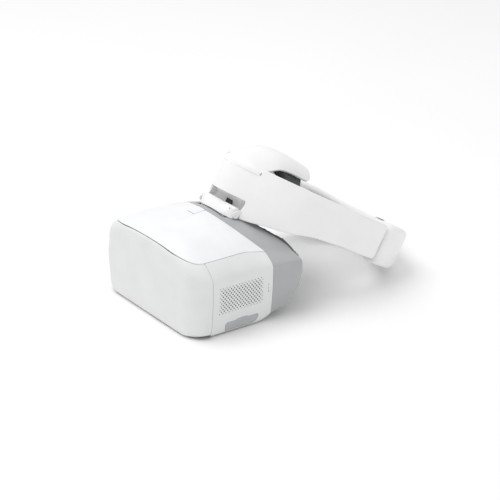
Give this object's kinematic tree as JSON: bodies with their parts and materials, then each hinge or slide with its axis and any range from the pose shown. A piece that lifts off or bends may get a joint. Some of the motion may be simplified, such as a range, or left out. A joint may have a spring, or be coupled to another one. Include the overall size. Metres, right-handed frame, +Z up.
{
  "type": "fpv goggles",
  "caption": "Video goggles for flying model aircraft, with adjustable eyepieces, a vented side and a port flap, on a lift-off tilting headband with a crown tongue and a sliding rear cradle.",
  "frame": {"origin": "middle of the overall box in plan, on the surface the object stands on", "axes": "+X is the wearer's left, +Y runs from the goggles' front to the rear cradle, +Z is up"},
  "size_m": [0.1978, 0.3425, 0.1658],
  "materials": {
    "white_shell": "satin off-white moulding",
    "cover_white": "satin cool white",
    "headband_white": "satin white",
    "liner_grey": "matte light grey",
    "housing_grey": "matte mid grey",
    "port_grey": "matte grey",
    "dark_plastic": "matte near-black",
    "mid_plastic": "matte dark grey",
    "button_grey": "matte light grey",
    "touch": "smooth white",
    "foam": "dark grey covered foam",
    "rubber": "matte black",
    "lens_glass": "clear",
    "beam_glass": "coated clear",
    "mirror": "polished",
    "screen": "black glass-like",
    "board": "green circuit board",
    "metal": "bare",
    "steel": "brushed",
    "cell": "blue film",
    "light_pipe": "milky clear",
    "grip_grey": "matte grey grip"
  },
  "bodies": {
    "goggles": {"front_shell": "white_shell", "top_cover": "cover_white", "left_side_panel": "white_shell", "right_side_panel": "white_shell", "touch_pad": "touch", "vent_grille": "white_shell", "port_block": "dark_plastic", "rear_housing": "housing_grey", "face_foam": "foam", "nose_flap": "rubber", "base_plate": "mid_plastic", "foot_1": "rubber", "foot_2": "rubber", "foot_3": "rubber", "foot_4": "rubber", "eyepiece_panel": "dark_plastic", "display_panel": "screen", "beam_splitter": "beam_glass", "mirror_plate": "mirror", "main_board": "board", "heat_sink": "metal", "proximity_window": "screen", "fan_housing": "dark_plastic", "left_speaker": "dark_plastic", "right_speaker": "dark_plastic", "headband_socket": "mid_plastic"},
    "hinge_mount": {"hinge_block": "headband_white", "hinge_pin": "steel"},
    "headband": {"headband_shell": "headband_white", "tilt_bracket": "mid_plastic", "forehead_pad": "foam", "crown_pad": "foam", "left_arm_liner": "liner_grey", "right_arm_liner": "liner_grey", "left_guide": "button_grey", "right_guide": "button_grey", "left_battery": "cell", "right_battery": "cell", "power_board": "board", "status_lights": "light_pipe", "charge_port": "dark_plastic"},
    "cradle": {"rear_cradle": "headband_white", "rear_pad": "foam"},
    "knob": {"adjust_knob": "grip_grey", "knob_pinion": "button_grey"},
    "left_eyepiece": {"left_lens_barrel": "dark_plastic", "left_lens": "lens_glass"},
    "right_eyepiece": {"right_lens_barrel": "dark_plastic", "right_lens": "lens_glass"},
    "ipd_adjuster": {"ipd_wheel": "mid_plastic"},
    "port_flap": {"port_cover": "port_grey"},
    "rotor": {"fan_rotor": "dark_plastic"},
    "release_key": {"release_button": "cover_white"},
    "back_key": {"back_button": "button_grey"},
    "function_key": {"function_button": "button_grey"},
    "power_key": {"power_button": "button_grey"}
  },
  "joints": [
    {"name": "mount_lift", "type": "slide", "parent": "goggles", "child": "hinge_mount", "axis": [0, 0, 1], "range_m": [0, 0.018]},
    {"name": "headband_tilt", "type": "hinge", "parent": "hinge_mount", "child": "headband", "pos_m": [0, -0.07171, 0.1078], "axis": [1, 0, 0], "range_deg": [-6, 35]},
    {"name": "cradle_slide", "type": "slide", "parent": "headband", "child": "cradle", "axis": [0, 0.8572, -0.515], "range_m": [0, 0.015]},
    {"name": "knob_turn", "type": "hinge", "parent": "cradle", "child": "knob", "pos_m": [0, 0.15839, 0.02087], "axis": [0, 0.8572, -0.515], "range_deg": [0, 120]},
    {"name": "ipd_turn", "type": "hinge", "parent": "goggles", "child": "ipd_adjuster", "pos_m": [0, -0.10076, 0.012], "axis": [0, 0, 1], "range_deg": [-21.5, 21.5]},
    {"name": "left_eyepiece_slide", "type": "slide", "parent": "goggles", "child": "left_eyepiece", "axis": [1, 0, 0], "range_m": [-0.003, 0.003]},
    {"name": "right_eyepiece_slide", "type": "slide", "parent": "goggles", "child": "right_eyepiece", "axis": [-1, 0, 0], "range_m": [-0.003, 0.003]},
    {"name": "port_flap_hinge", "type": "hinge", "parent": "goggles", "child": "port_flap", "pos_m": [0.09254, -0.10726, 0.00462], "axis": [0, 1, 0], "range_deg": [0, 85]},
    {"name": "rotor_spin", "type": "hinge", "parent": "goggles", "child": "rotor", "pos_m": [0.08, -0.11926, 0.043], "axis": [1, 0, 0], "continuous": true},
    {"name": "release_press", "type": "slide", "parent": "goggles", "child": "release_key", "axis": [0, 0, -1], "range_m": [0, 0.0015], "stiffness_N_per_m": 500, "springref_m": -0.0005},
    {"name": "back_press", "type": "slide", "parent": "goggles", "child": "back_key", "axis": [1, 0, 0], "range_m": [0, 0.001], "stiffness_N_per_m": 400, "springref_m": -0.0005},
    {"name": "function_press", "type": "slide", "parent": "goggles", "child": "function_key", "axis": [1, 0, 0], "range_m": [0, 0.001], "stiffness_N_per_m": 400, "springref_m": -0.0005},
    {"name": "power_press", "type": "slide", "parent": "headband", "child": "power_key", "axis": [0.9578, 0.2463, -0.148], "range_m": [0, 0.001], "stiffness_N_per_m": 400, "springref_m": -0.0005}
  ],
  "couplings": [
    {"joint": "knob_turn", "follows": "cradle_slide", "rad_per_m": 138.89},
    {"joint": "right_eyepiece_slide", "follows": "left_eyepiece_slide", "ratio": 1},
    {"joint": "ipd_turn", "follows": "left_eyepiece_slide", "rad_per_m": 125}
  ]
}
